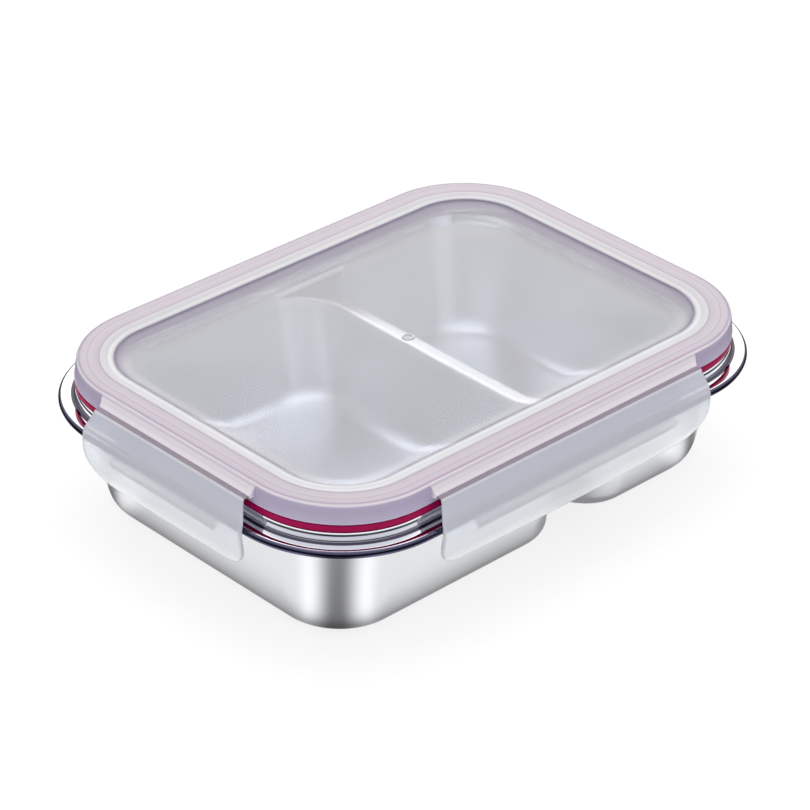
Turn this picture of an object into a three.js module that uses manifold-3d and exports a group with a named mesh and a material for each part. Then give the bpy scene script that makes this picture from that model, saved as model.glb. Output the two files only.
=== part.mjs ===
// Two-compartment snap-lock lunch box: a deep-drawn steel tray, a moulded lid whose four locking
// flaps hang on film hinges, and a soft seal ring held in a channel under the lid's rim. The lower
// half of each flap, which springs over the tray's lip, is a piece of its own.
// Millimetres. +X runs along the long side, +Y to the back, +Z up; the origin is on the table
// under the middle of the tray.

import * as THREE from 'three';
import { mergeVertices } from 'three/addons/utils/BufferGeometryUtils.js';
import Module from 'manifold-3d';

const wasm = await Module();
wasm.setup();

// ---- plan of the box: every contour is the lip's outer edge moved inwards by an inset ----
const LIP_HALF_X = 109;
const LIP_HALF_Y = 80.5;
const LIP_CORNER = 42;
const CORNER_STEPS = 9;
const SMALLEST_CORNER = 8;

// ---- tray: one sheet, drawn into two basins ----
const SHEET = 0.6;
const LIP_BOTTOM_Z = 41;
const LIP_TOP_Z = 43.8;
const ROLL_RADIUS = 1.4;
const HEM_END_INSET = 3.4;
const BEAD_INSET = 7.2;
const BEAD_RADIUS = 1.45;
const BEAD_SPRING_Z = 46.1;
const WALL_INSET = 9.2;
const WALL_DRAFT = 0.228;
const WALL_CORNER_TAPER = 1.35;
const FLOOR_RADIUS = 8;
const DIVIDER_X = 19.3;
const DIVIDER_TOP_Z = 38.2;
const DIVIDER_HALF = 3.1;
const DIVIDER_DRAFT = 0.04;
const DIVIDER_CORNER = 19;
const SHOULDER = 1.6;
const TUB_TOP_Z = 45;

// ---- lid ----
const RIM_TOP_Z = 57.5;
const SKIRT_BOTTOM_Z = 50.4;
const PANEL_Z = 53.7;
const PANEL_INSET = 28;
const PANEL_CROWN = 1.4;
const PANEL_THICK = 1.7;
const GATE_RADIUS = 2.2;
const GATE_HEIGHT = 0.35;

// ---- flaps, their film hinges and their springy locking edges ----
const GAP = 0.3;
const HINGE_INSET = 3.3;
const HINGE_Z = 53.1;
const LOCK_TOP_Z = 40.6;
const FLAP_THICK = 1.5;
const FLAP_EDGE_THICK = 0.5;
const FLAP_BOTTOM_Z = 26.2;
const FLAP_CORNER = 11;
const FLAP_OUTLINE = [
  [2.0, 53.4], [1.2, 51.7], [0.1, 49.8], [-0.9, 47.7], [-1.5, 45.3], [-1.8, 42.4],
  [-1.7, 39.4], [-1.1, 36.2], [-0.2, 33.3], [1.0, 30.2], [2.0, 27.6], [3.1, 24],
];
const SIDES = [
  { name: 'front', turn: 0, reach: LIP_HALF_Y, half: 61, flare: 1.7, bow: 1.6, catchHalf: 46 },
  { name: 'back', turn: Math.PI, reach: LIP_HALF_Y, half: 61, flare: 1.7, bow: 1.6, catchHalf: 46 },
  { name: 'left', turn: -Math.PI / 2, reach: LIP_HALF_X, half: 36.6, flare: 2.4, bow: 0.8, catchHalf: 25 },
  { name: 'right', turn: Math.PI / 2, reach: LIP_HALF_X, half: 36.6, flare: 2.4, bow: 0.8, catchHalf: 25 },
];

const STEEL = { color: 0xc3c5c9, roughness: 0.28, metalness: 1 };
const LID_PLASTIC = { color: 0xd6d0e2, roughness: 0.35, metalness: 0 };
const FLAP_PLASTIC = { color: 0xdde3f0, roughness: 0.32, metalness: 0 };
const SILICONE = { color: 0xa01245, roughness: 0.5, metalness: 0 };

// ---------------------------------------------------------------- shapes

/** Rounded-rectangle contour at height z; the corners at the two x ends may differ. */
function contour(x0, x1, halfY, radius0, radius1, z) {
  const corners = [
    [x1 - radius1, halfY - radius1, radius1, 0],
    [x0 + radius0, halfY - radius0, radius0, 1],
    [x0 + radius0, -halfY + radius0, radius0, 2],
    [x1 - radius1, -halfY + radius1, radius1, 3],
  ];
  const points = [];
  for (const [cx, cy, radius, quarter] of corners) {
    for (let step = 0; step <= CORNER_STEPS; step += 1) {
      const angle = (quarter + step / CORNER_STEPS) * Math.PI / 2;
      points.push([cx + radius * Math.cos(angle), cy + radius * Math.sin(angle), z]);
    }
  }
  return points;
}

/** The lip's outline moved inwards by an inset. */
function insetContour([inset, z]) {
  const radius = Math.max(LIP_CORNER - inset, SMALLEST_CORNER);
  const halfX = LIP_HALF_X - inset;
  return contour(-halfX, halfX, LIP_HALF_Y - inset, radius, radius, z);
}

/** Closed body from a list of equally long point loops; open ends are capped on a centre point. */
function loft(loops, { closed = false, startZ = null, endZ = null } = {}) {
  const count = loops[0].length;
  const points = loops.flat();
  const faces = [];
  const bands = closed ? loops.length : loops.length - 1;
  for (let band = 0; band < bands; band += 1) {
    const here = band * count;
    const there = ((band + 1) % loops.length) * count;
    for (let k = 0; k < count; k += 1) {
      const next = (k + 1) % count;
      faces.push([here + k, here + next, there + next], [here + k, there + next, there + k]);
    }
  }
  if (!closed) {
    capLoop(points, faces, 0, count, startZ, false);
    capLoop(points, faces, (loops.length - 1) * count, count, endZ, true);
  }
  return geometryFrom(points, faces);
}

/** Fan from a loop's middle, at its own height or at the height given. */
function capLoop(points, faces, first, count, z, forward) {
  const middle = [0, 0, 0];
  for (let k = 0; k < count; k += 1) {
    for (let axis = 0; axis < 3; axis += 1) middle[axis] += points[first + k][axis] / count;
  }
  if (z !== null) middle[2] = z;
  const centre = points.push(middle) - 1;
  for (let k = 0; k < count; k += 1) {
    const next = (k + 1) % count;
    faces.push(forward ? [first + k, first + next, centre] : [first + next, first + k, centre]);
  }
}

/** Indexed geometry with its faces turned outwards. */
function geometryFrom(points, faces) {
  let volume = 0;
  for (const [a, b, c] of faces) {
    const cross = new THREE.Vector3(...points[b]).cross(new THREE.Vector3(...points[c]));
    volume += cross.dot(new THREE.Vector3(...points[a]));
  }
  const outward = volume >= 0 ? faces : faces.map(([a, b, c]) => [a, c, b]);
  const geometry = new THREE.BufferGeometry();
  geometry.setAttribute('position', new THREE.Float32BufferAttribute(points.flat(), 3));
  geometry.setIndex(outward.flat());
  return geometry;
}

/** Points on an arc in the section plane; angles in degrees, 0 towards larger insets. */
function arc(inset, z, radius, from, to, steps) {
  const points = [];
  for (let step = 0; step <= steps; step += 1) {
    const angle = THREE.MathUtils.degToRad(from + (to - from) * step / steps);
    points.push([inset + radius * Math.cos(angle), z + radius * Math.sin(angle)]);
  }
  return points;
}

function toManifold(source) {
  const bare = source.clone();
  bare.deleteAttribute('normal');
  bare.deleteAttribute('uv');
  const geometry = mergeVertices(bare, 1e-5);
  return new wasm.Manifold(new wasm.Mesh({
    numProp: 3,
    vertProperties: new Float32Array(geometry.attributes.position.array),
    triVerts: new Uint32Array(geometry.index.array),
  }));
}

function fromManifold(body) {
  const mesh = body.getMesh();
  const geometry = new THREE.BufferGeometry();
  geometry.setAttribute('position', new THREE.BufferAttribute(mesh.vertProperties, 3));
  geometry.setIndex(new THREE.BufferAttribute(mesh.triVerts, 1));
  return geometry;
}

// ---------------------------------------------------------------- tray

/** How far a basin wall has come in at height z, floor rounding included. */
function wallShift(z, draft, skin) {
  const lean = Math.atan(draft);
  const radius = FLOOR_RADIUS - skin;
  const tangentZ = skin + radius * (1 - Math.sin(lean));
  if (z >= tangentZ) return draft * (LIP_BOTTOM_Z - z);
  const rise = radius - (z - skin);
  const centre = draft * (LIP_BOTTOM_Z - tangentZ) + radius * Math.cos(lean);
  return centre - Math.sqrt(radius * radius - rise * rise);
}

/** Corner radius of the outer walls: it tightens towards the floor. */
function wallCorner(z, skin) {
  const straight = WALL_DRAFT * (LIP_BOTTOM_Z - Math.max(z, FLOOR_RADIUS));
  const rounding = wallShift(z, WALL_DRAFT, skin) - WALL_DRAFT * (LIP_BOTTOM_Z - z);
  return LIP_CORNER - WALL_INSET - skin - WALL_CORNER_TAPER * straight - Math.max(rounding, 0);
}

/** One contour of a basin; side is -1 for the large basin, +1 for the small one. */
function basinContour(side, z, skin, shoulder) {
  const inset = WALL_INSET + skin + wallShift(z, WALL_DRAFT, skin);
  const dividerFoot = DIVIDER_DRAFT * (DIVIDER_TOP_Z - LIP_BOTTOM_Z);
  const dividerShift = wallShift(z, DIVIDER_DRAFT, skin) + dividerFoot;
  const dividerX = DIVIDER_X + side * (DIVIDER_HALF - SHEET + skin + dividerShift - shoulder);
  const outerX = side * (LIP_HALF_X - inset);
  const outerCorner = wallCorner(z, skin);
  const rounding = Math.max(FLOOR_RADIUS - z, 0) * 0.5;
  const dividerCorner = DIVIDER_CORNER - rounding + shoulder;
  const halfY = LIP_HALF_Y - inset;
  return side < 0
    ? contour(outerX, dividerX, halfY, outerCorner, dividerCorner, z)
    : contour(dividerX, outerX, halfY, dividerCorner, outerCorner, z);
}

/** A basin as a solid lump: its outside (skin 0) or its hollow (skin = sheet thickness). */
function basin(side, skin) {
  const round = SHOULDER - (SHEET - skin);
  const springZ = DIVIDER_TOP_Z - SHOULDER;
  const levels = [skin, skin + 0.4, skin + 1.4, skin + 3.2, skin + 5.6, FLOOR_RADIUS, springZ].map((z) => [z, 0]);
  for (const degrees of [35, 65, 90]) {
    const angle = THREE.MathUtils.degToRad(degrees);
    levels.push([springZ + round * Math.sin(angle), round * (1 - Math.cos(angle))]);
  }
  const loops = levels.map(([z, shoulder]) => basinContour(side, z, skin, shoulder));
  const top = loops[loops.length - 1];
  if (skin > 0) loops.push(top.map(([x, y, z]) => [x, y, z + 0.8]));
  return loft(loops);
}

/** The common upper part above the divider, as a solid lump. */
function tub(skin, bottomZ, topZ) {
  const levels = [bottomZ, topZ];
  return loft(levels.map((z) => insetContour([WALL_INSET + skin + WALL_DRAFT * (LIP_BOTTOM_Z - z), z])));
}

/** Sealing bead, flat lip and rolled edge, as one open hem of sheet with a foot in the wall. */
function rimSection() {
  const rollZ = LIP_TOP_Z - ROLL_RADIUS;
  const beadIn = BEAD_RADIUS - SHEET;
  const footZ = TUB_TOP_Z - 0.4;
  const footInset = WALL_INSET + WALL_DRAFT * (LIP_BOTTOM_Z - footZ) + SHEET / 2;
  return [
    [footInset + SHEET / 4, footZ],
    ...arc(BEAD_INSET, BEAD_SPRING_Z, BEAD_RADIUS, 0, 180, 8),
    [BEAD_INSET - BEAD_RADIUS, LIP_TOP_Z + 0.8],
    [BEAD_INSET - BEAD_RADIUS - 0.25, LIP_TOP_Z + 0.25],
    [BEAD_INSET - BEAD_RADIUS - 0.8, LIP_TOP_Z],
    ...arc(ROLL_RADIUS, rollZ, ROLL_RADIUS, 90, 270, 8),
    [HEM_END_INSET, LIP_BOTTOM_Z],
    [HEM_END_INSET, LIP_BOTTOM_Z + SHEET],
    ...arc(ROLL_RADIUS, rollZ, ROLL_RADIUS - SHEET, 270, 90, 6),
    [BEAD_INSET - beadIn, LIP_TOP_Z - SHEET],
    ...arc(BEAD_INSET, BEAD_SPRING_Z, beadIn, 180, 0, 6),
    [footInset - SHEET / 4, footZ],
  ];
}

function tray() {
  const rim = toManifold(loft(rimSection().map(insetContour), { closed: true }));
  let sheet = toManifold(tub(0, DIVIDER_TOP_Z - SHEET, TUB_TOP_Z));
  let hollow = toManifold(tub(SHEET, DIVIDER_TOP_Z, TUB_TOP_Z + 0.5));
  for (const side of [-1, 1]) {
    sheet = sheet.add(toManifold(basin(side, 0)));
    hollow = hollow.add(toManifold(basin(side, SHEET)));
  }
  return fromManifold(sheet.subtract(hollow).add(rim));
}

// ---------------------------------------------------------------- lid and seal ring

/** Height of the lid's panel over its edge at an inset from the lip. */
function crown(inset) {
  const t = THREE.MathUtils.clamp((inset - PANEL_INSET) / (LIP_HALF_Y - PANEL_INSET), 0, 1);
  return PANEL_CROWN * Math.sin(t * Math.PI / 2);
}

/** Lid section from the middle of its top, over the rim and skirt, to the middle underneath. */
function lidSection() {
  const crownInsets = [62, 48, 37];
  const top = crownInsets.map((inset) => [inset, PANEL_Z + crown(inset)]);
  const under = crownInsets.map((inset) => [inset, PANEL_Z + crown(inset) - PANEL_THICK]).reverse();
  return [
    ...top,
    [PANEL_INSET, PANEL_Z], [25, 53.8], [22.4, 54.2], [20.7, 54.9], [19.6, 55.8], [19.0, 56.7],
    [18.5, 57.0], [14.5, RIM_TOP_Z], [7.8, RIM_TOP_Z], [6.9, 57.1], [6.4, 56.4], [6.2, 55.6],
    [5.4, SKIRT_BOTTOM_Z],
    [7.1, SKIRT_BOTTOM_Z], [7.8, 55.7], [14.4, 55.7], [14.5, 48.8], [15.8, 48.8], [16.1, 55.2],
    [17.2, 55.2], [17.9, 54.2], [19.4, 53.1], [21.6, 52.4], [24.6, 52.05],
    [PANEL_INSET, PANEL_Z - PANEL_THICK],
    ...under,
  ];
}

/** Prism along X between two half lengths: a section in [inset, z], each point with its own reach. */
function prism(section, reach) {
  const end = (sign) => section.map(([inset, z, half]) => [sign * half, -(reach - inset), z]);
  return loft([end(-1), end(1)]);
}

/** The sloping tongue that carries one film hinge out from the rim. */
function tongue({ reach, half, turn }) {
  const root = half + 1.2;
  const section = [
    [6.8, 56.9, root], [5.6, 56.0, half + 0.7], [4.9, 54.6, half + 0.3], [4.2, 53.5, half],
    [4.2, 52.7, half], [5.0, 52.3, half + 0.3], [6.8, 52.3, root],
  ];
  return toManifold(prism(section, reach).rotateZ(turn));
}

function lid() {
  const underZ = PANEL_Z + PANEL_CROWN - PANEL_THICK;
  const loops = lidSection().map(insetContour);
  let body = toManifold(loft(loops, { startZ: PANEL_Z + PANEL_CROWN, endZ: underZ }));
  for (const side of SIDES) body = body.add(tongue(side));
  const gate = new THREE.CylinderGeometry(GATE_RADIUS, GATE_RADIUS, 1 + GATE_HEIGHT, 20);
  gate.rotateX(Math.PI / 2);
  gate.translate(0, 0, PANEL_Z + PANEL_CROWN + (GATE_HEIGHT - 1) / 2);
  return fromManifold(body.add(toManifold(gate)));
}

/** Seal ring: a body in the channel, a visible foot on the bead and a lip inside the tray wall. */
function sealRing() {
  const section = [
    [5.6, 47.9], [5.5, 50.1], [7.4, 50.1], [8.1, 55.4], [14.1, 55.4], [14.1, 50.2],
    [11.2, 48.9], [10.9, 45.8], [9.5, 45.4], [9.3, 47.9],
  ];
  return loft(section.map(insetContour), { closed: true });
}

// ---------------------------------------------------------------- flaps

/** Outer face of a flap: inset at a height, read along its outline. */
function flapInset(z) {
  const top = FLAP_OUTLINE.find(([, height]) => height <= z) ?? FLAP_OUTLINE[FLAP_OUTLINE.length - 1];
  const above = FLAP_OUTLINE[Math.max(FLAP_OUTLINE.indexOf(top) - 1, 0)];
  const span = above[1] - top[1];
  return span > 0 ? top[0] + (above[0] - top[0]) * (z - top[1]) / span : top[0];
}

/** Lower edge of a flap at a fraction of its half length: bowed, with rounded corners. */
function flapBottom(fraction, { half, flare, bow }) {
  const length = half + flare;
  const overlap = Math.abs(fraction) * length - (length - FLAP_CORNER);
  const corner = overlap > 0 ? FLAP_CORNER - Math.sqrt(Math.max(FLAP_CORNER ** 2 - overlap ** 2, 0)) : 0;
  return FLAP_BOTTOM_Z - bow * (1 - fraction * fraction) + bow / 2 + corner;
}

/** A stretch of flap from one height down to another; it thins to the film hinge at its top. */
function flapPlate(side, fromZ, bottomAt, rows) {
  const fractions = [-1, -0.985, -0.95, -0.9, -0.82, -0.5, 0, 0.5, 0.82, 0.9, 0.95, 0.985, 1];
  const hingeZ = FLAP_OUTLINE[0][1];
  const outer = [];
  const inner = [];
  for (let row = 0; row <= rows; row += 1) {
    for (const fraction of fractions) {
      const z = THREE.MathUtils.lerp(fromZ, bottomAt(fraction), row / rows);
      const spread = THREE.MathUtils.smoothstep(hingeZ - z, 0, 8) * side.flare;
      const thick = THREE.MathUtils.lerp(FLAP_EDGE_THICK, FLAP_THICK, Math.min((hingeZ - z) / 3, 1));
      const slope = (flapInset(z + 0.6) - flapInset(z - 0.6)) / 1.2;
      const across = thick / Math.hypot(1, slope);
      const x = fraction * (side.half + spread);
      outer.push([x, -(side.reach - flapInset(z)), z]);
      inner.push([x, -(side.reach - flapInset(z) - across), z - slope * across]);
    }
  }
  return plate(outer, inner, fractions.length, rows + 1);
}

/** Upper half of a locking flap, from the film hinge down past the tray's lip. */
function flap(side) {
  return flapPlate(side, FLAP_OUTLINE[0][1], () => LOCK_TOP_Z + GAP, 6).rotateZ(side.turn);
}

/** Lower half of a flap: finger edge outside, catch rib inside, hooked under the rolled lip. */
function lockEdge(side) {
  const { reach, catchHalf } = side;
  const skirt = toManifold(flapPlate(side, LOCK_TOP_Z, (fraction) => flapBottom(fraction, side), 6));
  const rib = [
    [-0.9, 40.5, catchHalf], [2.3, 40.6, catchHalf - 0.6], [2.5, 40.2, catchHalf - 0.8],
    [2.3, 39.5, catchHalf - 0.8], [0.9, 37.6, catchHalf], [-0.5, 37.2, catchHalf],
  ];
  return fromManifold(skirt.add(toManifold(prism(rib, reach)))).rotateZ(side.turn);
}

/** Closed plate between two grids of points. */
function plate(outer, inner, columns, rows) {
  const count = outer.length;
  const faces = [];
  for (let row = 0; row < rows - 1; row += 1) {
    for (let column = 0; column < columns - 1; column += 1) {
      const a = row * columns + column;
      const b = a + columns;
      faces.push([a, b, b + 1], [a, b + 1, a + 1]);
      faces.push([count + a, count + b + 1, count + b], [count + a, count + a + 1, count + b + 1]);
    }
  }
  const edge = [];
  for (let column = 0; column < columns - 1; column += 1) edge.push(column);
  for (let row = 0; row < rows - 1; row += 1) edge.push(row * columns + columns - 1);
  for (let column = columns - 1; column > 0; column -= 1) edge.push((rows - 1) * columns + column);
  for (let row = rows - 1; row > 0; row -= 1) edge.push(row * columns);
  edge.forEach((a, index) => {
    const b = edge[(index + 1) % edge.length];
    faces.push([a, b, count + b], [a, count + b, count + a]);
  });
  return geometryFrom([...outer, ...inner], faces);
}

/** The thin web the flap swings on. */
function filmHinge({ reach, half, turn }) {
  const width = 0.55;
  const section = [
    [HINGE_INSET + width, HINGE_Z + 0.3, half], [HINGE_INSET - width, HINGE_Z + 0.3, half],
    [HINGE_INSET - width, HINGE_Z - 0.2, half], [HINGE_INSET + width, HINGE_Z - 0.2, half],
  ];
  return prism(section, reach).rotateZ(turn);
}

// ---------------------------------------------------------------- assembly

const group = new THREE.Group();
group.name = 'lunch_box';

function place(name, geometry, look) {
  const mesh = new THREE.Mesh(geometry, new THREE.MeshStandardMaterial(look));
  mesh.name = name;
  group.add(mesh);
}

place('tray', tray(), STEEL);
place('lid', lid(), LID_PLASTIC);
place('seal_ring', sealRing(), SILICONE);
for (const side of SIDES) {
  place(`flap_${side.name}`, flap(side), FLAP_PLASTIC);
  place(`film_hinge_${side.name}`, filmHinge(side), FLAP_PLASTIC);
  place(`lock_edge_${side.name}`, lockEdge(side), FLAP_PLASTIC);
}

export default group;
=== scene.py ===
"""Snap-lock lunch box: fine meshes, materials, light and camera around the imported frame."""

import math

import bmesh
import bpy
import numpy as np
from mathutils import Matrix, Vector


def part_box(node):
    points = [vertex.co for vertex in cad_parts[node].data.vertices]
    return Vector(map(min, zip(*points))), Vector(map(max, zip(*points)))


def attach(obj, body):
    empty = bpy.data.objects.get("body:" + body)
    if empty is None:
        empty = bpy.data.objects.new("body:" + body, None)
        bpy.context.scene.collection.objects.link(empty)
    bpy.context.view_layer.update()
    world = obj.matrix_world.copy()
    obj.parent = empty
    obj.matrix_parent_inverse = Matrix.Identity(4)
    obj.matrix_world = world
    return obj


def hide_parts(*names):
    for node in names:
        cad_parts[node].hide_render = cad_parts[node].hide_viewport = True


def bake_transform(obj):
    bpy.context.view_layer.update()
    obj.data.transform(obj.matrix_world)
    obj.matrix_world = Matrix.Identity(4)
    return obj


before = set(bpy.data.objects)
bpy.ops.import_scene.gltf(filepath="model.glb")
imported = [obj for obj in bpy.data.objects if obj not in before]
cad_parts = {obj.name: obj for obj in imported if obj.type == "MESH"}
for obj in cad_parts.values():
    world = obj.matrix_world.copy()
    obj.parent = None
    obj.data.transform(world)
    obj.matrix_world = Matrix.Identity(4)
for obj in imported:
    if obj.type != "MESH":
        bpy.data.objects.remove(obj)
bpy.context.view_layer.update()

MM = 0.001

# ---- sizes read from the frame, in millimetres ----
tray_low, tray_high = (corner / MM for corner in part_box("tray"))
LIP_HALF_X = tray_high.x
LIP_HALF_Y = tray_high.y
BEAD_TOP_Z = tray_high.z
RIM_TOP_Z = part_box("lid")[1].z / MM
FLAP_TOP_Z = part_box("flap_front")[1].z / MM

# ---- plan and tray ----
LIP_CORNER = 42
CORNER_STEPS = 26
SMALLEST_CORNER = 8
SHEET = 0.6
ROLL_RADIUS = 1.4
LIP_TOP_Z = BEAD_TOP_Z - 3.75
LIP_BOTTOM_Z = LIP_TOP_Z - 2 * ROLL_RADIUS
BEAD_INSET = 7.2
BEAD_RADIUS = 1.45
BEAD_SPRING_Z = BEAD_TOP_Z - BEAD_RADIUS
WALL_INSET = 9.2
WALL_DRAFT = 0.228
WALL_CORNER_TAPER = 1.35
FLOOR_RADIUS = 8
DIVIDER_X = 19.3
DIVIDER_TOP_Z = LIP_BOTTOM_Z - 2.8
DIVIDER_HALF = 3.1
DIVIDER_DRAFT = 0.04
DIVIDER_CORNER = 19
SHOULDER = 1.6
FLARE_FILLET = 2.4
TUB_TOP_Z = LIP_TOP_Z + 1.2

# ---- lid ----
SKIRT_BOTTOM_Z = RIM_TOP_Z - 7.1
SKIRT_INSET = 5.4
SKIRT_LEAN = 0.15
PANEL_Z = RIM_TOP_Z - 3.8
PANEL_INSET = 28
PANEL_CROWN = 1.4
PANEL_THICK = 1.7
COVE_WIDTH = 9
COVE_HEIGHT = 3.25
UNDER_COVE_WIDTH = 10.9
UNDER_COVE_HEIGHT = 3.4
COVE_SWEEP = 84
GATE_SEGMENTS = 40

# ---- flaps ----
HINGE_Z = RIM_TOP_Z - 4.4
WEB_THICK = 0.42
FLAP_THICK = 1.5
FLAP_EDGE_THICK = 0.5
FLAP_BOTTOM_Z = 26.2
FLAP_CORNER = 11
FLAP_COLUMNS = 72
FLAP_ROWS = 44
# flap outline, points of (inset, z) from the hinge to the finger edge
FLAP_OUTLINE = [
    (2.0, 53.4), (1.2, 51.7), (0.1, 49.8), (-0.9, 47.7), (-1.5, 45.3), (-1.8, 42.4),
    (-1.7, 39.4), (-1.1, 36.2), (-0.2, 33.3), (1.0, 30.2), (2.0, 27.6), (3.1, 24.0),
]
# catch rib: how far its rounded ends run past its straight part, and the section's scale there
RIB_ROOT_INSET = -0.9
RIB_MIDDLE_Z = 38.9
RIB_ENDS = [(0, 1), (0.35, 0.95), (0.6, 0.75)]
# each side: distance from the middle to the lip's edge, half length of the flap at its hinge, how
# much further each end reaches lower down, bow of its lower edge, half length of its catch rib
LONG_SIDE = {"reach": LIP_HALF_Y, "half": 61, "flare": 1.7, "bow": 1.6, "catch": 46}
SHORT_SIDE = {"reach": LIP_HALF_X, "half": 36.6, "flare": 2.4, "bow": 0.8, "catch": 25}
SIDES = {
    "front": {"turn": 0, **LONG_SIDE},
    "back": {"turn": math.pi, **LONG_SIDE},
    "left": {"turn": -math.pi / 2, **SHORT_SIDE},
    "right": {"turn": math.pi / 2, **SHORT_SIDE},
}


# ---------------------------------------------------------------- mesh helpers

def contour(x0, x1, half_y, radius0, radius1, z):
    """Rounded-rectangle contour at height z; the corners at the two x ends may differ."""
    corners = [
        (x1 - radius1, half_y - radius1, radius1),
        (x0 + radius0, half_y - radius0, radius0),
        (x0 + radius0, -half_y + radius0, radius0),
        (x1 - radius1, -half_y + radius1, radius1),
    ]
    points = []
    for quarter, (cx, cy, radius) in enumerate(corners):
        for step in range(CORNER_STEPS + 1):
            angle = (quarter + step / CORNER_STEPS) * math.pi / 2
            points.append((cx + radius * math.cos(angle), cy + radius * math.sin(angle), z))
    return points


def inset_contour(point):
    """The lip's outline moved inwards by an inset."""
    inset, z = point[:2]
    radius = max(LIP_CORNER - inset, SMALLEST_CORNER)
    half_x = LIP_HALF_X - inset
    return contour(-half_x, half_x, LIP_HALF_Y - inset, radius, radius, z)


def loft(loops, closed=False):
    """Vertices and faces of a body from equally long loops; open ends get a cap."""
    count = len(loops[0])
    points = [point for loop in loops for point in loop]
    faces = []
    bands = len(loops) if closed else len(loops) - 1
    for band in range(bands):
        here = band * count
        there = (band + 1) % len(loops) * count
        for k in range(count):
            following = (k + 1) % count
            faces.append((here + k, here + following, there + following, there + k))
    if not closed:
        faces.append(tuple(reversed(range(count))))
        last = (len(loops) - 1) * count
        faces.append(tuple(range(last, last + count)))
    return points, faces


def fillet(corners, closed=True, span=0.22):
    """Section outline with its corners rounded: each corner is (inset, z, radius)."""
    outline = []
    count = len(corners)
    for index, (inset, z, radius) in enumerate(corners):
        here = np.array((inset, z))
        if radius == 0 or (not closed and index in (0, count - 1)):
            outline.append((inset, z))
            continue
        before = np.array(corners[index - 1][:2])
        after = np.array(corners[(index + 1) % count][:2])
        to_before = (before - here) / np.linalg.norm(before - here)
        to_after = (after - here) / np.linalg.norm(after - here)
        half_angle = math.acos(np.clip(to_before @ to_after, -1, 1)) / 2
        bisector = (to_before + to_after) / np.linalg.norm(to_before + to_after)
        centre = here + bisector * radius / math.sin(half_angle)
        start = here + to_before * radius / math.tan(half_angle) - centre
        end = here + to_after * radius / math.tan(half_angle) - centre
        sweep = math.pi - 2 * half_angle
        steps = max(2, math.ceil(sweep / span))
        for step in range(steps + 1):
            part = step / steps
            blend = (math.sin((1 - part) * sweep) * start + math.sin(part * sweep) * end) / math.sin(sweep)
            outline.append(tuple(centre + blend))
    return outline


def arc(inset, z, radius, start, end, steps):
    """Points on an arc in the section plane; angles in degrees, 0 towards larger insets."""
    angles = np.radians(np.linspace(start, end, steps + 1))
    return [(inset + radius * math.cos(a), z + radius * math.sin(a)) for a in angles]


def make_object(name, points, faces):
    """Mesh object from points in millimetres, with its faces turned outwards."""
    mesh = bpy.data.meshes.new(name)
    mesh.from_pydata([Vector(point) * MM for point in points], [], faces)
    mesh.validate()
    obj = bpy.data.objects.new(name, mesh)
    bpy.context.scene.collection.objects.link(obj)
    turn_outwards(obj)
    return obj


def turn_outwards(obj):
    """Turns the mesh's faces to look outwards."""
    work = bmesh.new()
    work.from_mesh(obj.data)
    bmesh.ops.recalc_face_normals(work, faces=work.faces)
    work.to_mesh(obj.data)
    work.free()


def combine(obj, other, operation):
    """Boolean of obj with other, which is used up."""
    modifier = obj.modifiers.new("combine", "BOOLEAN")
    modifier.operation = operation
    modifier.solver = "MANIFOLD"
    modifier.object = other
    depsgraph = bpy.context.evaluated_depsgraph_get()
    mesh = bpy.data.meshes.new_from_object(obj.evaluated_get(depsgraph))
    obj.modifiers.clear()
    old = obj.data
    obj.data = mesh
    mesh.name = obj.name
    bpy.data.meshes.remove(old)
    bpy.data.objects.remove(other)
    return obj


def smooth(obj, degrees=28):
    """Smooth shading, kept crisp at edges sharper than the angle."""
    mesh = obj.data
    mesh.shade_smooth()
    mesh.set_sharp_from_angle(angle=math.radians(degrees))
    return obj


def turned(points, turn):
    """Points turned about the vertical axis."""
    c, s = math.cos(turn), math.sin(turn)
    return [(x * c - y * s, x * s + y * c, z) for x, y, z in points]


def smoothstep(value, low, high):
    """0 below low, 1 above high, with a smooth rise between them."""
    t = np.clip((value - low) / (high - low), 0, 1)
    return t * t * (3 - 2 * t)


def lip_inset(x, y):
    """How far a point lies inside the lip's outline, in millimetres."""
    qx = np.abs(x) - (LIP_HALF_X - LIP_CORNER)
    qy = np.abs(y) - (LIP_HALF_Y - LIP_CORNER)
    beyond = np.hypot(np.maximum(qx, 0), np.maximum(qy, 0))
    return LIP_CORNER - beyond - np.minimum(np.maximum(qx, qy), 0)


def measure(obj):
    """Stores on each vertex its inset from the lip and how far it lies out on a tongue."""
    mesh = obj.data
    place = np.zeros(len(mesh.vertices) * 3, np.float32)
    mesh.vertices.foreach_get("co", place)
    x, y, z = (place.reshape(-1, 3) / MM).T
    inset = lip_inset(x, y)
    skirt = SKIRT_INSET + SKIRT_LEAN * (z - SKIRT_BOTTOM_Z)
    for key, value in (("inset", inset), ("tongue", smoothstep(skirt - inset, 0.05, 0.25))):
        mesh.attributes.new(key, "FLOAT", "POINT").data.foreach_set("value", value.astype(np.float32))
    return obj


# ---------------------------------------------------------------- tray

def wall_shift(z, draft, skin):
    """How far a basin wall has come in at height z, floor rounding included."""
    lean = math.atan(draft)
    radius = FLOOR_RADIUS - skin
    tangent_z = skin + radius * (1 - math.sin(lean))
    if z >= tangent_z:
        return draft * (LIP_BOTTOM_Z - z)
    rise = radius - (z - skin)
    centre = draft * (LIP_BOTTOM_Z - tangent_z) + radius * math.cos(lean)
    return centre - math.sqrt(max(radius * radius - rise * rise, 0))


def wall_corner(z, skin):
    """Corner radius of the outer walls: it tightens towards the floor."""
    straight = WALL_DRAFT * (LIP_BOTTOM_Z - max(z, FLOOR_RADIUS))
    rounding = wall_shift(z, WALL_DRAFT, skin) - WALL_DRAFT * (LIP_BOTTOM_Z - z)
    return LIP_CORNER - WALL_INSET - skin - WALL_CORNER_TAPER * straight - max(rounding, 0)


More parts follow.
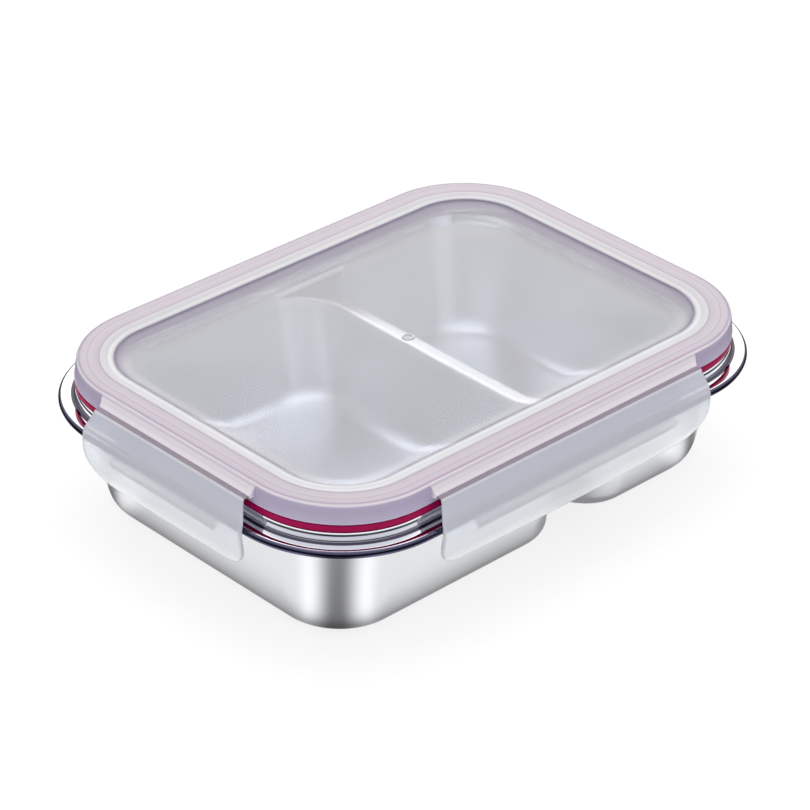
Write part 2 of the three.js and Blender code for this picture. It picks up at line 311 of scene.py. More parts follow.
def basin_contour(side, z, skin, shoulder, slack=0):
    """One contour of a basin; side is -1 for the large basin, +1 for the small one."""
    inset = WALL_INSET + skin + slack + wall_shift(z, WALL_DRAFT, skin)
    divider_foot = DIVIDER_DRAFT * (DIVIDER_TOP_Z - LIP_BOTTOM_Z)
    divider_shift = wall_shift(z, DIVIDER_DRAFT, skin) + divider_foot
    divider_x = DIVIDER_X + side * (DIVIDER_HALF - SHEET + skin + divider_shift - shoulder)
    outer_x = side * (LIP_HALF_X - inset)
    outer_corner = wall_corner(z, skin) - slack
    divider_corner = DIVIDER_CORNER - max(FLOOR_RADIUS - z, 0) * 0.5 + shoulder
    half_y = LIP_HALF_Y - inset
    if side < 0:
        return contour(outer_x, divider_x, half_y, outer_corner, divider_corner, z)
    return contour(divider_x, outer_x, half_y, divider_corner, outer_corner, z)


def basin(side, skin):
    """A basin as a solid lump: its outside (skin 0) or its hollow (skin = sheet thickness)."""
    rounding = SHOULDER - (SHEET - skin)
    spring_z = DIVIDER_TOP_Z - SHOULDER
    radius = FLOOR_RADIUS - skin
    turns = np.radians(np.linspace(0, 78, 15))
    levels = [(skin + radius * (1 - math.cos(turn)), 0) for turn in turns]
    levels += [(z, 0) for z in np.linspace(FLOOR_RADIUS, spring_z, 12)]
    for degrees in range(10, 91, 10):
        turn = math.radians(degrees)
        levels.append((spring_z + rounding * math.sin(turn), rounding * (1 - math.cos(turn))))
    loops = [basin_contour(side, z, skin, shoulder) for z, shoulder in levels]
    if skin > 0:
        for z in np.linspace(DIVIDER_TOP_Z + 0.6, DIVIDER_TOP_Z + FLARE_FILLET + 0.8, 4):
            loops.append(basin_contour(side, z, skin, rounding, 0.02))
    return loft(loops)


def tub_hollow():
    """The common upper hollow, with a rounded foot where it meets the divider's flared ends."""
    def wall(z):
        return WALL_INSET + SHEET + WALL_DRAFT * (LIP_BOTTOM_Z - z)
    points = []
    for degrees in range(0, 91, 15):
        turn = math.radians(degrees)
        z = DIVIDER_TOP_Z + FLARE_FILLET * (1 - math.cos(turn))
        points.append((wall(z) + FLARE_FILLET * (1 - math.sin(turn)), z))
    points += [(wall(z), z) for z in np.linspace(DIVIDER_TOP_Z + FLARE_FILLET + 0.5, TUB_TOP_Z + 0.5, 5)]
    return loft([inset_contour(point) for point in points])


def tub_outside():
    """The outside of the common upper part, above the divider."""
    levels = np.linspace(DIVIDER_TOP_Z - SHEET, TUB_TOP_Z, 8)
    return loft([inset_contour((WALL_INSET + WALL_DRAFT * (LIP_BOTTOM_Z - z), z)) for z in levels])


def rim_section():
    """Sealing bead, flat lip and rolled edge, as one open hem of sheet with a foot in the wall."""
    roll_z = LIP_TOP_Z - ROLL_RADIUS
    bead_in = BEAD_RADIUS - SHEET
    foot_z = TUB_TOP_Z - 0.4
    foot = WALL_INSET + WALL_DRAFT * (LIP_BOTTOM_Z - foot_z) + SHEET / 2
    bend = arc(BEAD_INSET - BEAD_RADIUS - 0.85, LIP_TOP_Z + 0.85, 0.85, 0, -90, 6)
    return [
        (foot + SHEET / 4, foot_z),
        *arc(BEAD_INSET, BEAD_SPRING_Z, BEAD_RADIUS, 0, 180, 22),
        *bend,
        *[(inset, LIP_TOP_Z) for inset in (4.2, 3.4, 2.4)],
        *arc(ROLL_RADIUS, roll_z, ROLL_RADIUS, 90, 270, 22),
        (2.6, LIP_BOTTOM_Z),
        *arc(3.4, LIP_BOTTOM_Z + SHEET / 2, SHEET / 2, -90, 90, 6),
        *arc(ROLL_RADIUS, roll_z, ROLL_RADIUS - SHEET, 270, 90, 14),
        (BEAD_INSET - bead_in, LIP_TOP_Z - SHEET),
        *arc(BEAD_INSET, BEAD_SPRING_Z, bead_in, 180, 0, 14),
        (foot - SHEET / 4, foot_z),
    ]


def tray():
    """The tray: basins and upper part hollowed to sheet thickness, joined to the rim."""
    sheet = make_object("tray_shell", *tub_outside())
    hollow = make_object("hollow", *tub_hollow())
    for side in (-1, 1):
        combine(sheet, make_object("lump", *basin(side, 0)), "UNION")
        combine(hollow, make_object("lump", *basin(side, SHEET)), "UNION")
    combine(sheet, hollow, "DIFFERENCE")
    rim = make_object("rim", *loft([inset_contour(point) for point in rim_section()], closed=True))
    return measure(smooth(combine(sheet, rim, "UNION"), 24))


# ---------------------------------------------------------------- lid and seal ring

def crown(inset):
    """Height of the lid's panel over its edge at an inset from the lip."""
    t = min(max((inset - PANEL_INSET) / (LIP_HALF_Y - PANEL_INSET), 0), 1)
    return PANEL_CROWN * math.sin(t * math.pi / 2)


def cove(foot_z, width, height):
    """Quarter ellipse that rises from the panel's edge towards the rim."""
    turns = np.radians(np.linspace(0, COVE_SWEEP, 15))
    return [(PANEL_INSET - width * math.sin(t), foot_z + height * (1 - math.cos(t))) for t in turns]


def lid_section():
    """Lid section from the middle of its top, over the rim and skirt, to the middle underneath."""
    insets = [70, 64, 58, 52, 46, 40, 34]
    top = [(inset, PANEL_Z + crown(inset)) for inset in insets]
    under = [(inset, z - PANEL_THICK) for inset, z in reversed(top)]
    upper_cove = cove(PANEL_Z, COVE_WIDTH, COVE_HEIGHT)
    lower_cove = cove(PANEL_Z - PANEL_THICK, UNDER_COVE_WIDTH, UNDER_COVE_HEIGHT)
    rim = fillet([
        (*upper_cove[-1], 0), (18.92, 57.02, 0.3), (14.5, RIM_TOP_Z, 2.5), (6.45, RIM_TOP_Z, 1.25),
        (6.15, 55.5, 2.5), (5.4, SKIRT_BOTTOM_Z, 0.45), (7.1, SKIRT_BOTTOM_Z, 0.45), (7.8, 55.7, 0.5),
        (14.4, 55.7, 0.5), (14.5, 48.8, 0.5), (15.8, 48.8, 0.5), (16.1, 55.3, 0.5),
        (*lower_cove[-1], 0),
    ], closed=False)
    return [*top, *upper_cove, *rim[1:-1], *reversed(lower_cove), *under]


def prism(section, reach, turn):
    """Prism along a side between two half lengths: each section point is (inset, z, half)."""
    loops = []
    for sign in (-1, 1):
        loops.append(turned([(sign * half, -(reach - inset), z) for inset, z, half in section], turn))
    return loft(loops)


def tongue(side):
    """The sloping tongue that carries one film hinge out from the rim."""
    half = side["half"]
    section = [
        (6.9, 56.9, half + 1.2), (6.3, 56.75, half + 1.0), (5.7, 56.1, half + 0.7), (5.3, 55.2, half + 0.5),
        (5.0, 54.4, half + 0.3), (4.5, 53.9, half + 0.1), (4.2, 53.4, half), (4.2, 52.8, half),
        (4.5, 52.45, half + 0.1), (5.0, 52.3, half + 0.3), (6.9, 52.3, half + 1.2),
    ]
    return prism(section, side["reach"], side["turn"])


def gate():
    """Gate mark in the middle of the panel: a low disc with a dimple."""
    rings = [(2.2, -1), (2.3, 0.02), (2.15, 0.28), (1.95, 0.35), (1.5, 0.33), (1.2, 0.12), (0.5, 0.05)]
    base = PANEL_Z + PANEL_CROWN
    turns = [2 * math.pi * step / GATE_SEGMENTS for step in range(GATE_SEGMENTS)]
    return loft([[(r * math.cos(t), r * math.sin(t), base + z) for t in turns] for r, z in rings])


def lid():
    """The lid moulding: the turned section with four tongues and the gate mark."""
    body = make_object("lid_cover", *loft([inset_contour(point) for point in lid_section()]))
    for side in SIDES.values():
        combine(body, make_object("tongue", *tongue(side)), "UNION")
    combine(body, make_object("gate", *gate()), "UNION")
    return measure(smooth(body, 30))


def seal_ring():
    """Seal ring: a body in the channel, a visible foot on the bead and a lip inside the tray wall."""
    section = fillet([
        (5.6, 47.9, 0.3), (5.5, 50.1, 0.3), (7.4, 50.1, 0.3), (8.1, 55.4, 0.4), (14.1, 55.4, 0.4),
        (14.1, 50.2, 0.4), (11.2, 48.9, 0.6), (10.9, 45.8, 0.4), (9.5, 45.4, 0.3), (9.3, 47.9, 0.3),
    ])
    return smooth(make_object("seal", *loft([inset_contour(p) for p in section], closed=True)), 30)


# ---------------------------------------------------------------- flaps

def outline_curve():
    """Flap outline as a smooth curve: inset against height."""
    heights = np.array([z for _, z in FLAP_OUTLINE])
    insets = np.array([inset for inset, _ in FLAP_OUTLINE])
    order = np.argsort(heights)
    return np.polynomial.Polynomial.fit(heights[order], insets[order], 6)


FLAP_CURVE = outline_curve()


def flap_inset(z):
    """Inset of the flap's outside at height z."""
    return float(FLAP_CURVE(z))


def flap_bottom(fraction, side):
    """Lower edge of a flap at a fraction of its half length: bowed, with rounded corners."""
    length = side["half"] + side["flare"]
    overlap = abs(fraction) * length - (length - FLAP_CORNER)
    corner = FLAP_CORNER - math.sqrt(max(FLAP_CORNER ** 2 - overlap ** 2, 0)) if overlap > 0 else 0
    return FLAP_BOTTOM_Z - side["bow"] * (1 - fraction ** 2) + side["bow"] / 2 + corner


def edge_spacing(count):
    """Values from 0 to 1 that crowd towards both ends."""
    return (1 - np.cos(np.linspace(0, 1, count) * math.pi)) / 2


def flap_length(z, side):
    """Half length of a flap at height z: it flares below the hinge."""
    return side["half"] + smoothstep(FLAP_TOP_Z - z, 0, 8) * side["flare"]


def flap_face(side):
    """Grid of points over the face of one flap, as (distance along the side, z)."""
    fractions = 2 * edge_spacing(FLAP_COLUMNS) - 1
    flat = np.zeros((FLAP_ROWS, FLAP_COLUMNS, 2))
    for row, part in enumerate(edge_spacing(FLAP_ROWS)):
        for column, fraction in enumerate(fractions):
            z = FLAP_TOP_Z + (flap_bottom(fraction, side) - FLAP_TOP_Z) * part
            flat[row, column] = fraction * flap_length(z, side), z
    return flat


def border_distance(flat):
    """Distance of each point of a grid from the grid's border."""
    border = np.concatenate([flat[0], flat[:, -1], flat[-1, ::-1], flat[::-1, 0]])
    start, step = border, np.roll(border, -1, axis=0) - border
    length2 = np.maximum((step ** 2).sum(1), 1e-12)
    offset = flat.reshape(-1, 1, 2) - start
    along = np.clip((offset * step).sum(2) / length2, 0, 1)
    distance = np.sqrt(((offset - along[..., None] * step) ** 2).sum(2)).min(1)
    return distance.reshape(flat.shape[:2])


def flap_skins(side):
    """Points of the outer and inner skins of one flap; the two meet along a rounded border."""
    flat = flap_face(side)
    distance = border_distance(flat)
    outer, inner = [], []
    for row in range(FLAP_ROWS):
        for column in range(FLAP_COLUMNS):
            x, z = flat[row, column]
            thick = np.interp(FLAP_TOP_Z - z, (0, 3), (FLAP_EDGE_THICK, FLAP_THICK))
            slope = (flap_inset(z + 0.3) - flap_inset(z - 0.3)) / 0.6
            across = 1 / math.hypot(1, slope)
            reach = min(distance[row, column] / (FLAP_THICK / 2), 1)
            swell = math.sqrt(max(1 - (1 - reach) ** 2, 0))
            middle_y = -(side["reach"] - flap_inset(z) - across * thick / 2)
            middle_z = z - slope * across * thick / 2
            for points, sign in ((outer, -1), (inner, 1)):
                move = sign * swell * thick / 2 * across
                points.append((x, middle_y + move, middle_z - slope * move))
    return outer, inner


def flap_plate(side):
    """Vertices and faces of the flap's plate."""
    outer, inner = flap_skins(side)
    count = len(outer)

    def on_border(k):
        row, column = divmod(k, FLAP_COLUMNS)
        return row in (0, FLAP_ROWS - 1) or column in (0, FLAP_COLUMNS - 1)

    back = [k if on_border(k) else count + k for k in range(count)]
    faces = []
    for row in range(FLAP_ROWS - 1):
        for column in range(FLAP_COLUMNS - 1):
            a = row * FLAP_COLUMNS + column
            quad = (a, a + FLAP_COLUMNS, a + FLAP_COLUMNS + 1, a + 1)
            faces.append(quad)
            faces.append(tuple(back[k] for k in reversed(quad)))
    return turned(outer + inner, side["turn"]), faces


def catch_rib(side):
    """The rib along the inside of a flap that hooks under the rolled lip."""
    half = side["catch"]
    section = [(RIB_ROOT_INSET, 40.4), *arc(2.05, 40.05, 0.45, 90, -30, 8), (0.9, 37.7), (-0.5, 37.2)]
    stations = [(-half - past, scale) for past, scale in reversed(RIB_ENDS)]
    stations += [(half + past, scale) for past, scale in RIB_ENDS]
    loops = []
    for x, scale in stations:
        loop = []
        for inset, z in section:
            scaled_inset = RIB_ROOT_INSET + (inset - RIB_ROOT_INSET) * scale
            scaled_z = RIB_MIDDLE_Z + (z - RIB_MIDDLE_Z) * scale
            loop.append((x, -(side["reach"] - scaled_inset), scaled_z))
        loops.append(turned(loop, side["turn"]))
    return loft(loops)


def flap(name):
    """One flap: its plate with the catch rib."""
    side = SIDES[name]
    body = make_object(f"{name}_flap", *flap_plate(side))
    combine(body, make_object("rib", *catch_rib(side)), "UNION")
    return smooth(body, 35)


def film_web(name):
    """Thin web between the tongue and the flap, bent by the hinge."""
    side = SIDES[name]
    top = []
    for inset in np.linspace(4.3, 2.05, 12):
        dip = 0.12 * math.sin((inset - 2) / 2.3 * math.pi)
        top.append((inset, HINGE_Z + 0.22 - dip))
    section = top + [(inset, z - WEB_THICK) for inset, z in reversed(top)]
    loops = []
    for x in np.linspace(-1, 1, 40) * (side["half"] - 0.05):
        loops.append(turned([(x, -(side["reach"] - inset), z) for inset, z in section], side["turn"]))
    return smooth(make_object(f"{name}_film_web", *loft(loops)), 40)


# ---------------------------------------------------------------- materials

# steel: colours, roughness, grain, and the heights in metres over which each finish, the painted crest
# highlight and the painted rim rings fade in
STEEL_DARK = (0.66, 0.67, 0.70, 1)
STEEL_LIGHT = (0.72, 0.725, 0.74, 1)
# painted highlight: a lighter, warmer tone over the top of the tray, where the divider's crest catches the
# light overhead
CREST_PAINTED_HIGHLIGHT = (0.84, 0.80, 0.74, 1)
SATIN_LOW = 0.285
SATIN_HIGH = 0.33
POLISHED = 0.07
GRAIN_PER_METRE = (900, 900, 60)
CREST_HEIGHTS = (0.034, 0.0375)
LIP_HEIGHTS = (0.039, 0.041)
POLISH_HEIGHTS = (0.0405, 0.0412)
# tone of the polished rim against the inset: painted shade in the valley beside the bead, a painted dark
# reflection on the outer edge of the roll, a thin painted reflection of the seal's maroon on the flat lip,
# and lighter over the bead
LIP_PAINTED_SHADE_AND_REFLECTION = [
    (0.05, (0.08, 0.08, 0.15)),
    (0.85, (0.05, 0.05, 0.08)),
    (1.1, (0.72, 0.73, 0.78)),
    (3.9, (0.76, 0.77, 0.80)),
    (4.2, (0.66, 0.58, 0.56)),
    (4.4, (0.05, 0.05, 0.08)),
    (5.5, (0.04, 0.04, 0.07)),
    (5.75, (0.85, 0.86, 0.92)),
    (8.2, (0.85, 0.86, 0.92)),
]

# lid: colour and milkiness against the inset, from the skirt over the rim and cove to the panel; the colour
# is the plastic's tint with painted highlight lines on the rim's outer edge and the bevel's edge and
# painted shade on the cove
LID_TINT_AND_PAINTED_LIGHT = [
    (5.4, (0.88, 0.86, 0.92)),
    (6.7, (0.94, 0.93, 0.96)),
    (7.2, (0.42, 0.30, 0.46)),
    (7.8, (0.66, 0.58, 0.68)),
    (9.5, (0.70, 0.64, 0.71)),
    (10.1, (0.58, 0.50, 0.60)),
    (10.5, (0.72, 0.66, 0.73)),
    (13.4, (0.66, 0.59, 0.68)),
    (14.0, (0.50, 0.42, 0.54)),
    (14.4, (0.86, 0.85, 0.89)),
    (16.6, (0.78, 0.77, 0.82)),
    (17.4, (1, 1, 1)),
    (18.2, (0.88, 0.88, 0.92)),
    (18.9, (0.46, 0.42, 0.55)),
    (20.5, (0.62, 0.59, 0.70)),
    (23, (0.86, 0.86, 0.92)),
    (28, (0.86, 0.905, 1)),
]
LID_MILK = [(4.2, 0.97), (5.2, 0.92), (6.0, 0.7), (17.4, 0.65), (19.2, 0.5), (23, 0.25), (27, 0.12)]
LID_GLOSS = 0.02
SKIRT_TINT = (0.66, 0.58, 0.78, 1)
TONGUE_TINT = (1.0, 0.92, 0.97, 1)

# flaps: colour and milkiness against the height, from the finger edge to the hinge; the darker blue-grey
# strip just under the hinge is painted shade
FLAP_TINT_AND_PAINTED_SHADE = [
    (24, (1, 1, 1)),
    (30, (0.98, 0.99, 1)),
    (33, (0.93, 0.96, 1)),
    (40, (0.92, 0.95, 1)),
    (48, (0.88, 0.90, 0.98)),
    (52.3, (0.78, 0.79, 0.90)),
    (52.8, (1, 1, 1)),
]
FLAP_MILK = [(26, 0.5), (33, 0.36), (44, 0.52), (53, 0.62)]
FLAP_GLOSS = 0.12
FILM_TINT = (0.40, 0.33, 0.43, 1)
FILM_MILK = 0.5
FILM_GLOSS = 0.2

# plastic in general
PLASTIC_IOR = 1.49
MILKY_ROUGHNESS = 0.24
CLEAR_TRANSMISSION = 0.94
MILKY_TRANSMISSION = 0.2

SILICONE_DARK = (0.29, 0.0, 0.056, 1)
SILICONE_LIGHT = (0.39, 0.001, 0.08, 1)

# floor: its two colours and its own glow
FLOOR_DARK = (0.22, 0.22, 0.22, 1)
FLOOR_LIGHT = (0.23, 0.23, 0.23, 1)
FLOOR_GLOW = 0.8

# shared values
WHITE = (1, 1, 1, 1)
DIAGONAL = math.pi / 4
TINY = 0.0001


class Nodes:
    """Short way to build the node tree of a material or a world."""

    def __init__(self, owner):
        owner.use_nodes = True
        self.owner = owner
        self.tree = owner.node_tree
        self.shader = self.tree.nodes.get("Principled BSDF")

    def add(self, kind, inputs=(), **settings):
        """New node with its inputs fed and its settings made."""
        node = self.tree.nodes.new(kind)
        for key, value in settings.items():
            setattr(node, key, value)
        for key, value in dict(inputs).items():
            self.feed(node.inputs[key], value)
        return node

    def feed(self, socket, value):
        """Links a socket to another, or gives it a constant."""
        if isinstance(value, bpy.types.NodeSocket):
            self.tree.links.new(value, socket)
        else:
            socket.default_value = value

    def set(self, **values):
        """Feeds inputs of the surface shader, with _ for each space in their names."""
        for key, value in values.items():
            self.feed(self.shader.inputs[key.replace("_", " ")], value)

    def place(self):
        return self.add("ShaderNodeTexCoord").outputs["Object"]

    def stretch(self, vector, scale):
        return self.add("ShaderNodeMapping", {"Vector": vector, "Scale": scale}).outputs["Vector"]

    def noise(self, vector, scale, detail=2.0, roughness=0.5):
        node = self.add("ShaderNodeTexNoise", {
            "Vector": vector, "Scale": scale, "Detail": detail, "Roughness": roughness})
        return node.outputs["Fac"]

    def ramp(self, value, low, high, start=0.0, end=1.0):
        """value from start..end mapped to low..high, clamped."""
        node = self.add("ShaderNodeMapRange", {
            "Value": value, "From Min": start, "From Max": end, "To Min": low, "To Max": high})
        return node.outputs["Result"]

    def ease(self, value, start, end, low, high):
        """value from start..end mapped smoothly to low..high."""
        node = self.add("ShaderNodeMapRange", {
            "Value": value, "From Min": start, "From Max": end, "To Min": low, "To Max": high},
            interpolation_type="SMOOTHSTEP")
        return node.outputs["Result"]

    def math(self, operation, a, b):
        node = self.add("ShaderNodeMath", operation=operation)
        self.feed(node.inputs[0], a)
        self.feed(node.inputs[1], b)
        return node.outputs["Value"]

    def mix(self, factor, a, b):
        node = self.add("ShaderNodeMix", data_type="RGBA")
        self.feed(node.inputs["Factor"], factor)
        self.feed(node.inputs["A"], a)
        self.feed(node.inputs["B"], b)
        return node.outputs["Result"]

    def attribute(self, name):
        """A value stored on the mesh."""
        return self.add("ShaderNodeAttribute", attribute_name=name).outputs["Fac"]

    def bands(self, value, stops):
        """Colour or number read off a list of (position, value) stops along a quantity."""
        low, high = stops[0][0], stops[-1][0]
        node = self.add("ShaderNodeValToRGB", {"Fac": self.ramp(value, 0, 1, low, high)})
        elements = node.color_ramp.elements
        for index, (position, colour) in enumerate(stops):
            part = (position - low) / (high - low)
            element = elements[index] if index < 2 else elements.new(part)
            element.position = part
            element.color = (*(colour if isinstance(colour, tuple) else (colour,) * 3), 1)
        return node.outputs["Color"]

    def split(self, vector, axis):
        """One axis of a vector."""
        return self.add("ShaderNodeSeparateXYZ", {"Vector": vector}).outputs[axis]

    def mirror_ray(self):
        """1 for what mirror reflections see, 0 for everything else."""
        return self.add("ShaderNodeLightPath").outputs["Is Glossy Ray"]

    def bump(self, height, strength, distance):
        """Fine relief on the surface shader."""
        node = self.add("ShaderNodeBump", {"Height": height, "Strength": strength, "Distance": distance})
        self.set(Normal=node.outputs["Normal"])


def steel_material():
    """Deep-drawn steel: satin on the walls and floor, polished on the bead and the rolled lip, with painted
    shade and painted reflections in rings along the rim and a painted highlight in a lighter, warmer tone
    at the top.
    """
    m = Nodes(bpy.data.materials.new("drawn_steel"))
    place = m.place()
    height = m.split(place, "Z")
    polish = m.ramp(height, 0, 1, *POLISH_HEIGHTS)
    cloud = m.noise(place, 28, 3)
    grain = m.noise(m.stretch(place, GRAIN_PER_METRE), 1, 2)
    satin = m.ramp(cloud, SATIN_LOW, SATIN_HIGH)
    dull = m.math("SUBTRACT", 1, polish)
    rough = m.math("ADD", m.math("MULTIPLY", satin, dull), m.math("MULTIPLY", polish, POLISHED))
    body = m.mix(cloud, STEEL_DARK, STEEL_LIGHT)
    # painted highlight: above these heights the steel takes the lighter, warmer crest tone
    crest = m.ease(height, *CREST_HEIGHTS, 0, 1)
    lip = m.ease(height, *LIP_HEIGHTS, 0, 1)
    # painted shade and painted reflections on the rim: dark rings in the bead's valley and on the roll's
    # outer edge, a thin tan ring on the flat lip
    rings = m.bands(m.attribute("inset"), LIP_PAINTED_SHADE_AND_REFLECTION)
    # steel colour: cloudy satin tone, the crest's painted highlight, then the rim's painted shade and
    # painted reflections
    tone = m.mix(lip, m.mix(crest, body, CREST_PAINTED_HIGHLIGHT), rings)
    m.set(Base_Color=tone, Metallic=1.0, Roughness=rough)
    m.bump(m.math("MULTIPLY", grain, dull), 0.03, 0.0001)
    return m.owner


def plastic(m, colour, milk, rough):
    """Frosted polypropylene: milky where thick, with faint clouds, a moulded skin and a soft gloss."""
    place = m.place()
    cloud = m.noise(place, 35, 3)
    clouded = m.mix(m.math("MULTIPLY", cloud, 0.08), colour, WHITE)
    roughness = m.math("ADD", m.ramp(milk, rough, MILKY_ROUGHNESS), m.math("MULTIPLY", cloud, 0.03))
    transmission = m.ramp(milk, CLEAR_TRANSMISSION, MILKY_TRANSMISSION)
    m.set(Base_Color=clouded, IOR=PLASTIC_IOR, Roughness=roughness, Transmission_Weight=transmission)
    m.bump(m.noise(place, 180, 1), 0.004, 0.0003)
    return m.owner


def lid_material():
    """Lid plastic: clear thin panel, painted shade on the cove, dense rim with painted highlight lines and
    the seal's cast on its skirt.
    """
    m = Nodes(bpy.data.materials.new("lid_plastic_frosted"))
    inset = m.attribute("inset")
    # tint by inset, with painted highlight lines on the rim's edges and painted shade on the cove
    top = m.bands(inset, LID_TINT_AND_PAINTED_LIGHT)
    low = m.ramp(m.split(m.place(), "Z"), 1, 0, (RIM_TOP_Z - 1.0) * MM, (RIM_TOP_Z - 0.6) * MM)
    outside = m.ramp(inset, 1, 0, 6.9, 7.1)
    skirt = m.mix(m.math("MULTIPLY", low, outside), top, SKIRT_TINT)
    colour = m.mix(m.attribute("tongue"), skirt, TONGUE_TINT)
    return plastic(m, colour, m.bands(inset, LID_MILK), LID_GLOSS)


def flap_material():
    """Flap plastic: bluish and milky near the hinge, with a painted shade strip just under it, clearer
    behind the catch, white at the finger edge.
    """
    m = Nodes(bpy.data.materials.new("flap_plastic_frosted"))
    height = m.math("DIVIDE", m.split(m.place(), "Z"), MM)
    # colour by height, with painted shade in the darker strip under the hinge
    return plastic(m, m.bands(height, FLAP_TINT_AND_PAINTED_SHADE), m.bands(height, FLAP_MILK), FLAP_GLOSS)


def film_material():
    """Film hinge: the same plastic, thin and dusky over the seal."""
    m = Nodes(bpy.data.materials.new("film_hinge_plastic"))
    return plastic(m, FILM_TINT, FILM_MILK, FILM_GLOSS)


def silicone_material():
    """Maroon silicone with a matt bloom."""
    m = Nodes(bpy.data.materials.new("seal_silicone"))
    place = m.place()
    cloud = m.noise(place, 120, 3)
    colour = m.mix(cloud, SILICONE_DARK, SILICONE_LIGHT)
    m.set(Base_Color=colour, Roughness=m.ramp(cloud, 0.4, 0.5), Specular_IOR_Level=0.12)
    m.bump(m.noise(place, 1500, 2), 0.1, 0.0001)
    return m.owner


def floor_material():
    """White floor. In mirror reflections it has dark flags off each corner and far off, and painted shade
    under the tray.
    """
    m = Nodes(bpy.data.materials.new("studio_floor"))
    place = m.place()
    colour = m.mix(m.noise(place, 3, 1), FLOOR_DARK, FLOOR_LIGHT)
    m.set(Base_Color=colour, Roughness=0.9, Specular_IOR_Level=0.0)
    m.set(Emission_Color=WHITE, Emission_Strength=FLOOR_GLOW)
    beyond = []
    for axis, half in (("X", LIP_HALF_X), ("Y", LIP_HALF_Y)):
        distance = m.math("ABSOLUTE", m.split(place, axis), 0)
        beyond.append(m.math("SUBTRACT", distance, (half - LIP_CORNER) * MM))
    angle = m.math("ARCTAN2", m.math("MAXIMUM", beyond[1], TINY), m.math("MAXIMUM", beyond[0], TINY))
    off_corner = m.math("ABSOLUTE", m.math("SUBTRACT", angle, DIAGONAL), 0)
    corner_flag = m.ease(off_corner, 0.06, 0.52, 0.16, 1.0)
    flank = m.ease(off_corner, 0.48, DIAGONAL, 1.6, 1.15)
    outward = m.add("ShaderNodeCombineXYZ", {
        "X": m.math("MAXIMUM", beyond[0], 0), "Y": m.math("MAXIMUM", beyond[1], 0)})
    reach = m.add("ShaderNodeVectorMath", {0: outward.outputs["Vector"]}, operation="LENGTH")
    away = reach.outputs["Value"]
    # painted shade: mirror reflections see the floor darker under and near the tray, where its shadow falls
    under = m.ease(away, 0.024, 0.036, 0.3, 1.0)
    table_edge = m.ease(away, 0.085, 0.125, 1.0, 0.06)
    reflected_flags_and_painted_shade = m.math("MULTIPLY", m.math("MULTIPLY", corner_flag, under), table_edge)
    glow = m.add("ShaderNodeEmission", {"Strength": m.math("MULTIPLY", reflected_flags_and_painted_shade, flank)})
    both = m.add("ShaderNodeMixShader", {
        0: m.mirror_ray(), 1: m.shader.outputs["BSDF"], 2: glow.outputs["Emission"]})
    m.feed(m.tree.nodes["Material Output"].inputs["Surface"], both.outputs["Shader"])
    return m.owner


# ---------------------------------------------------------------- studio

ROOM_LIGHT = 0.9
TOP_LIGHT = 2.0
NEAR_LIGHT = 1.0
FAR_LIGHT = 1.25
NEAR_SIDE = (-0.70, -0.71, 0)
COOL_LIGHT = (0.97, 0.98, 1, 1)
WARM_LIGHT = (1, 0.95, 0.88, 1)
FLOOR_HALF = 6000
OVERHEAD_PLACE = (0.1, 0.2, 1.4)
OVERHEAD_SIZE = 1.2
OVERHEAD_POWER = 8

# camera: its turn in degrees, the point it looks at in millimetres, its distance in metres
CAMERA_AZIMUTH = -44.58
CAMERA_ELEVATION = 31.034
CAMERA_ROLL = 1.386
CAMERA_TARGET = (-15.264, -14.706, 41)
CAMERA_DISTANCE = 1.1951
CAMERA_LENS = 158.54


def room():
    """White room. Mirror reflections see a warm top light, a far wall, a near one and a dark horizon."""
    world = bpy.data.worlds.new("studio")
    m = Nodes(world)
    direction = m.add("ShaderNodeTexCoord").outputs["Generated"]
    towards = m.add("ShaderNodeVectorMath", {0: direction, 1: NEAR_SIDE}, operation="DOT_PRODUCT")
    facing = towards.outputs["Value"]
    height = m.split(direction, "Z")
    near = m.ease(height, 0.34, 0.48, 0.16, NEAR_LIGHT)
    far_wall = m.ramp(facing, FAR_LIGHT, 0, -0.8, 0.6)
    near_wall = m.math("MULTIPLY", m.ramp(facing, 0, 1, -0.8, 0.6), near)
    walls = m.math("ADD", far_wall, near_wall)
    raised = m.math("SUBTRACT", height, m.math("MULTIPLY", facing, 0.35))
    top = m.ease(raised, 0.5, 0.75, 0, 1)
    below_top = m.math("MULTIPLY", walls, m.math("SUBTRACT", 1, top))
    lights = m.math("ADD", below_top, m.math("MULTIPLY", top, TOP_LIGHT))
    horizon = m.ease(height, 0.1, 0.24, 0.12, 1)
    zenith = m.ease(height, 0.88, 0.985, 1, 0.5)
    lights = m.math("MULTIPLY", m.math("MULTIPLY", horizon, lights), zenith)
    mirror = m.mirror_ray()
    difference = m.math("MULTIPLY", mirror, m.math("SUBTRACT", lights, ROOM_LIGHT))
    background = m.tree.nodes["Background"]
    m.feed(background.inputs["Strength"], m.math("ADD", difference, ROOM_LIGHT))
    m.feed(background.inputs["Color"], m.mix(m.math("MULTIPLY", mirror, top), COOL_LIGHT, WARM_LIGHT))
    return world


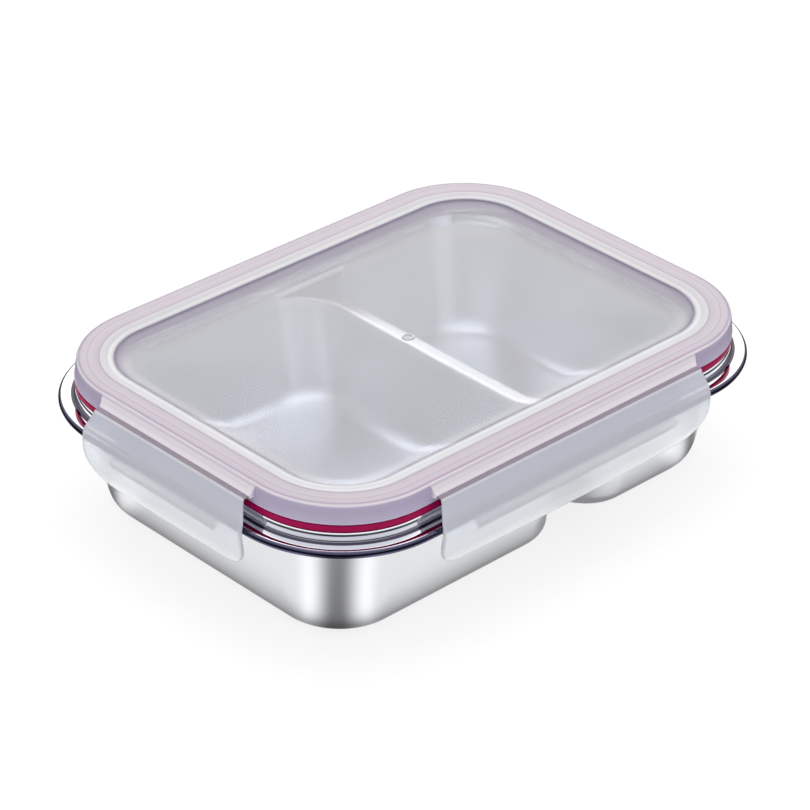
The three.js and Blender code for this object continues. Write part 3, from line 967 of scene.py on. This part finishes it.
def studio():
    """Pale floor, an even white room and one soft light overhead."""
    corners = [(-1, -1), (1, -1), (1, 1), (-1, 1)]
    floor = make_object("floor", [(x * FLOOR_HALF, y * FLOOR_HALF, 0) for x, y in corners], [(0, 1, 2, 3)])
    floor.data.materials.append(floor_material())
    bpy.context.scene.world = room()
    light = bpy.data.objects.new("overhead", bpy.data.lights.new("overhead", "AREA"))
    light.data.shape = "SQUARE"
    light.data.size = OVERHEAD_SIZE
    light.data.energy = OVERHEAD_POWER
    light.location = OVERHEAD_PLACE
    light.rotation_euler = Vector(OVERHEAD_PLACE).to_track_quat("Z", "Y").to_euler()
    bpy.context.scene.collection.objects.link(light)


def camera():
    """Camera at the three-quarter view from the front left, a little above."""
    azimuth = math.radians(CAMERA_AZIMUTH)
    elevation = math.radians(CAMERA_ELEVATION)
    roll = math.radians(CAMERA_ROLL)
    level = Vector((math.sin(azimuth), -math.cos(azimuth), 0))
    back = level * math.cos(elevation) + Vector((0, 0, math.sin(elevation)))
    right = Vector((math.cos(azimuth), math.sin(azimuth), 0))
    up = back.cross(right)
    right_rolled = math.cos(roll) * right + math.sin(roll) * up
    up_rolled = math.cos(roll) * up - math.sin(roll) * right
    place = Vector(CAMERA_TARGET) * MM + back * CAMERA_DISTANCE
    camera_object = bpy.data.objects.new("camera", bpy.data.cameras.new("camera"))
    camera_object.data.sensor_width = 36
    camera_object.data.lens = CAMERA_LENS
    camera_object.data.clip_end = 50
    turn = Matrix((right_rolled, up_rolled, back)).transposed()
    camera_object.matrix_world = Matrix.LocRotScale(place, turn, None)
    bpy.context.scene.collection.objects.link(camera_object)
    bpy.context.scene.camera = camera_object


# ---------------------------------------------------------------- assembly

studio()
camera()
bpy.context.scene.view_settings.view_transform = "Standard"

steel = steel_material()
lid_plastic = lid_material()
flap_plastic = flap_material()
film_plastic = film_material()
silicone = silicone_material()


def finish_piece(piece, material, nodes, body=None):
    """Gives a piece its material and slot, the nodes it replaces and the body it rides."""
    piece.data.materials.clear()
    piece.data.materials.append(material)
    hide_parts(*nodes)
    if body:
        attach(piece, body)


finish_piece(tray(), steel, ["tray"], "tray_body")
finish_piece(lid(), lid_plastic, ["lid"], "lid_body")
finish_piece(seal_ring(), silicone, ["seal_ring"], "lid_body")
for name, side in SIDES.items():
    plate_nodes = [f"flap_{name}", f"lock_edge_{name}"]
    finish_piece(flap(name), flap_plastic, plate_nodes, f"flap_{name}_body")
    web = film_web(name)
    finish_piece(web, film_plastic, [f"film_hinge_{name}"])
    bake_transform(web)
